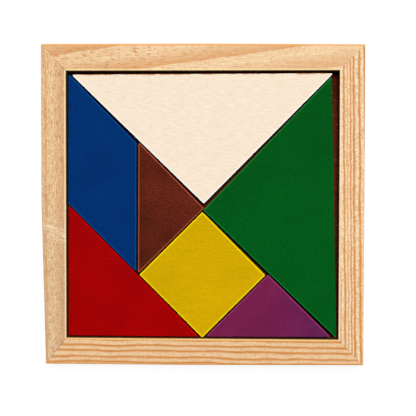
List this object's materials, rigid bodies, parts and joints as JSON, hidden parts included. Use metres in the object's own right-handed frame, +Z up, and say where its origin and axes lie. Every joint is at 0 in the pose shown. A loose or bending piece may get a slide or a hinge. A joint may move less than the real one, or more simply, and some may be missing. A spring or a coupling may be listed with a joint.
{
  "type": "tangram puzzle",
  "caption": "Square mitred pine tray with a captured base panel, holding loose flat tangram pieces in a natural finish and bright stains, which lift straight out.",
  "frame": {"origin": "middle of the tray's underside, on the surface that it stands on", "axes": "+X to the right rail, +Y to the back rail, +Z up out of the tray; the picture looks down with +Y up the picture"},
  "size_m": [0.13, 0.1294, 0.012],
  "materials": {
    "pine": "bare, sanded",
    "hardboard": "bare, smooth side up",
    "natural_basswood": "bare, finely sanded",
    "green_stain": "satin stain",
    "blue_stain": "satin stain",
    "brown_stain": "satin stain",
    "red_stain": "satin stain",
    "yellow_stain": "satin stain",
    "purple_stain": "satin stain"
  },
  "bodies": {
    "tray": {"back_rail": "pine", "left_rail": "pine", "front_rail": "pine", "right_rail": "pine", "base_panel": "hardboard"},
    "large_triangle_natural": {"large_triangle_natural": "natural_basswood"},
    "large_triangle_green": {"large_triangle_green": "green_stain"},
    "parallelogram_blue": {"parallelogram_blue": "blue_stain"},
    "small_triangle_brown": {"small_triangle_brown": "brown_stain"},
    "medium_triangle_red": {"medium_triangle_red": "red_stain"},
    "square_yellow": {"square_yellow": "yellow_stain"},
    "small_triangle_purple": {"small_triangle_purple": "purple_stain"}
  },
  "joints": [
    {"name": "lift_large_triangle_natural", "type": "slide", "parent": "tray", "child": "large_triangle_natural", "axis": [0, 0, 1], "range_m": [0, 0.03]},
    {"name": "lift_large_triangle_green", "type": "slide", "parent": "tray", "child": "large_triangle_green", "axis": [0, 0, 1], "range_m": [0, 0.03]},
    {"name": "lift_parallelogram_blue", "type": "slide", "parent": "tray", "child": "parallelogram_blue", "axis": [0, 0, 1], "range_m": [0, 0.03]},
    {"name": "lift_small_triangle_brown", "type": "slide", "parent": "tray", "child": "small_triangle_brown", "axis": [0, 0, 1], "range_m": [0, 0.03]},
    {"name": "lift_medium_triangle_red", "type": "slide", "parent": "tray", "child": "medium_triangle_red", "axis": [0, 0, 1], "range_m": [0, 0.03]},
    {"name": "lift_square_yellow", "type": "slide", "parent": "tray", "child": "square_yellow", "axis": [0, 0, 1], "range_m": [0, 0.03]},
    {"name": "lift_small_triangle_purple", "type": "slide", "parent": "tray", "child": "small_triangle_purple", "axis": [0, 0, 1], "range_m": [0, 0.03]}
  ]
}
